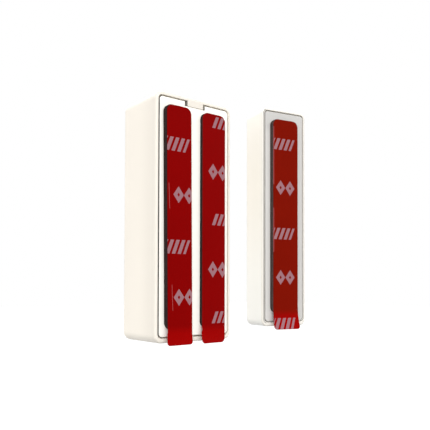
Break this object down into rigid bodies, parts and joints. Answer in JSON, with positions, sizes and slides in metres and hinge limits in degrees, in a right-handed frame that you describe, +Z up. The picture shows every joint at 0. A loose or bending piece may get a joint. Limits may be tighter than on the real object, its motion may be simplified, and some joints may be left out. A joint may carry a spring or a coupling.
{
  "type": "wireless door sensor",
  "caption": "Battery powered wireless contact sensor for a door, with a boxy sensor unit on a hooked back cover, a slim magnet unit beside it, and foam tape strips with red liners.",
  "frame": {"origin": "on the outer face of the left tape strip's release film, on the strip's centre line and at half the height of the sensor case", "axes": "+Z up along the units, -Y out of the adhesive faces towards the door frame or door, +X from the sensor unit towards the magnet unit as they are seen from behind"},
  "size_m": [0.0705, 0.0278, 0.089],
  "materials": {
    "case_plastic": "satin white plastic",
    "magnet_cover_plastic": "satin light grey plastic",
    "tape_foam": "closed cell foam",
    "liner_film": "translucent release film",
    "board_laminate": "lacquered laminate",
    "zinc_steel": "zinc plated",
    "nickel_steel": "nickel plated",
    "tin_sheet": "tin plated sheet",
    "capacitor_can": "bare can",
    "black_plastic": "moulded",
    "grey_plastic": "moulded",
    "chip_resin": "moulded resin",
    "electrode": "pressed powder",
    "sleeve_film": "shrink film",
    "reed_tube_glass": "clear glass",
    "clear_resin": "clear resin",
    "ferrite": "sintered ferrite"
  },
  "bodies": {
    "mounting_cover": {"back_cover": "case_plastic", "release_catch": "case_plastic", "left_tape_foam": "tape_foam", "right_tape_foam": "tape_foam"},
    "sensor_case": {"front_case": "case_plastic", "circuit_board": "board_laminate", "board_screws": "zinc_steel", "battery_holder": "black_plastic", "battery_can": "nickel_steel", "electrode_roll": "electrode", "battery_cap": "nickel_steel", "battery_sleeve": "sleeve_film", "negative_contact": "nickel_steel", "positive_contact": "nickel_steel", "reed_glass": "reed_tube_glass", "reed_leads": "nickel_steel", "reed_fixed_blade": "nickel_steel", "radio_shield": "tin_sheet", "radio_chip": "chip_resin", "antenna": "tin_sheet", "processor": "chip_resin", "clock_crystal": "tin_sheet", "storage_capacitor": "capacitor_can", "pairing_switch": "black_plastic", "tamper_switch": "black_plastic", "status_light": "clear_resin", "light_pipe": "clear_resin"},
    "tamper_plunger": {"tamper_plunger": "grey_plastic"},
    "pairing_button": {"pairing_button": "grey_plastic"},
    "reed_blade": {"reed_moving_blade": "nickel_steel"},
    "magnet_unit": {"magnet_case": "case_plastic", "magnet_cover": "magnet_cover_plastic", "bar_magnet": "ferrite", "magnet_pad": "tape_foam", "magnet_tape_foam": "tape_foam"},
    "left_liner": {"left_tape_liner": "liner_film"},
    "right_liner": {"right_tape_liner": "liner_film"},
    "magnet_liner": {"magnet_tape_liner": "liner_film"}
  },
  "joints": [
    {"name": "case_hinge", "type": "hinge", "parent": "mounting_cover", "child": "sensor_case", "pos_m": [0.0077, 0.00205, -0.04003], "axis": [-1, 0, 0], "range_deg": [0, 30], "deforming": ["release_catch"]},
    {"name": "tamper_slide", "type": "slide", "parent": "sensor_case", "child": "tamper_plunger", "axis": [0, -1, 0], "range_m": [0, 0.001]},
    {"name": "pairing_press", "type": "slide", "parent": "sensor_case", "child": "pairing_button", "axis": [0, 1, 0], "range_m": [0, 0.00025], "stiffness_N_per_m": 400, "springref_m": -0.001},
    {"name": "magnet_slide", "type": "slide", "parent": "mounting_cover", "child": "magnet_unit", "axis": [1, 0, 0], "range_m": [0, 0.06]},
    {"name": "reed_flex", "type": "hinge", "parent": "sensor_case", "child": "reed_blade", "pos_m": [0.0189, 0.01413, -0.00515], "axis": [-1, 0, 0], "range_deg": [0, 1.2]},
    {"name": "left_liner_peel", "type": "slide", "parent": "mounting_cover", "child": "left_liner", "axis": [0, -1, 0], "range_m": [0, 0.025]},
    {"name": "right_liner_peel", "type": "slide", "parent": "mounting_cover", "child": "right_liner", "axis": [0, -1, 0], "range_m": [0, 0.025]},
    {"name": "magnet_liner_peel", "type": "slide", "parent": "magnet_unit", "child": "magnet_liner", "axis": [-0.1891, -0.982, 0], "range_m": [0, 0.025]}
  ],
  "couplings": [
    {"joint": "tamper_slide", "follows": "case_hinge", "m_per_rad": 0.0019079},
    {"joint": "reed_flex", "follows": "magnet_slide", "rad_per_m": 0.34872}
  ]
}
